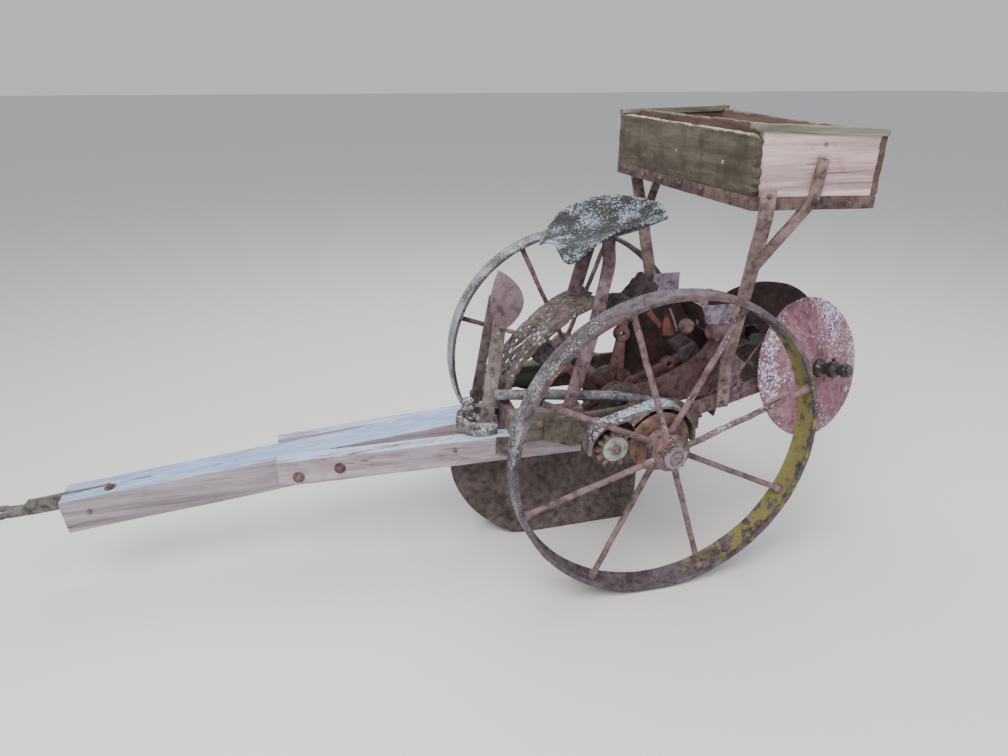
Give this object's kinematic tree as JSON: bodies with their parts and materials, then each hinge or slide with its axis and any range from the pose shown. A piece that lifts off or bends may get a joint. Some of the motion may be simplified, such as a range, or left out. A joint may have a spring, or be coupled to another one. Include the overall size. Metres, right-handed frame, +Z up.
{
  "type": "potato planter",
  "caption": "One-row horse-drawn potato planter with spoked steel wheels, open gears, iron seat, wooden hopper and covering discs, rusted and lichened.",
  "frame": {"origin": "on the ground under the middle of the bounding box", "axes": "+X forward to the pole's tip, +Y to the left, +Z up"},
  "size_m": [2.4037, 0.8438, 1.1533],
  "materials": {
    "wheel_iron": "matte",
    "frame_iron": "matte",
    "gear_iron": "matte",
    "picker_iron": "matte",
    "sheet_iron": "matte",
    "lever_iron": "matte",
    "shoe_iron": "matte",
    "seat_iron": "matte",
    "disc_paint": "matte",
    "pole_wood": "matte",
    "frame_wood": "matte",
    "hopper_wood": "matte"
  },
  "bodies": {
    "frame": {"axle": "frame_iron", "axle_collars": "frame_iron", "gear_guard": "gear_iron", "pole": "pole_wood", "hounds": "pole_wood", "frame_rails": "frame_wood", "side_frames": "frame_iron", "hitch_strap": "frame_iron", "front_cross": "frame_iron", "front_yoke": "frame_iron", "depth_lever": "lever_iron", "lever_head": "lever_iron", "marker_bar": "lever_iron", "clutch_rod": "lever_iron", "picker_guard": "sheet_iron", "seed_bowl": "picker_iron", "seed_throat": "sheet_iron", "opener_shoe": "shoe_iron", "seat_pan": "seat_iron", "seat_bars": "frame_iron", "hopper_front_board": "hopper_wood", "hopper_inner_board": "hopper_wood", "hopper_back_board": "hopper_wood", "hopper_end_boards": "hopper_wood", "hopper_floor": "hopper_wood", "hopper_caps": "sheet_iron", "hopper_rail": "frame_iron", "rear_bars": "frame_iron", "rear_cross_bar": "frame_iron", "hopper_posts": "frame_iron", "hopper_braces": "frame_iron", "disc_spindles": "picker_iron"},
    "wheel_left": {"wheel_left_rim": "wheel_iron", "wheel_left_spokes": "wheel_iron", "wheel_left_hub": "wheel_iron", "drive_gear": "gear_iron"},
    "wheel_right": {"wheel_right_rim": "wheel_iron", "wheel_right_spokes": "wheel_iron", "wheel_right_hub": "wheel_iron"},
    "pinion": {"pinion": "gear_iron", "pinion_shaft": "gear_iron"},
    "picker_wheel": {"picker_hub": "picker_iron", "picker_arms": "picker_iron", "picker_heads": "picker_iron"},
    "disc_left": {"cover_disc_left": "disc_paint"},
    "disc_right": {"cover_disc_right": "disc_paint"}
  },
  "joints": [
    {"name": "wheel_left_turn", "type": "hinge", "parent": "frame", "child": "wheel_left", "pos_m": [-0.43814, 0.3715, 0.4064], "axis": [0, 1, 0], "continuous": true},
    {"name": "wheel_right_turn", "type": "hinge", "parent": "frame", "child": "wheel_right", "pos_m": [-0.43814, -0.3715, 0.4064], "axis": [0, 1, 0], "continuous": true},
    {"name": "pinion_turn", "type": "hinge", "parent": "frame", "child": "pinion", "pos_m": [-0.31921, 0.3145, 0.40225], "axis": [0, 1, 0], "continuous": true},
    {"name": "picker_wheel_turn", "type": "hinge", "parent": "frame", "child": "picker_wheel", "pos_m": [-0.43814, 0, 0.4064], "axis": [0, 1, 0], "continuous": true},
    {"name": "disc_left_turn", "type": "hinge", "parent": "frame", "child": "disc_left", "pos_m": [-1.01114, 0.176, 0.486], "axis": [-0.2178, 0.9433, 0.2504], "continuous": true},
    {"name": "disc_right_turn", "type": "hinge", "parent": "frame", "child": "disc_right", "pos_m": [-1.01114, -0.176, 0.486], "axis": [-0.2178, -0.9433, 0.2504], "continuous": true}
  ],
  "couplings": [
    {"joint": "pinion_turn", "follows": "wheel_left_turn", "ratio": -1.6154}
  ]
}
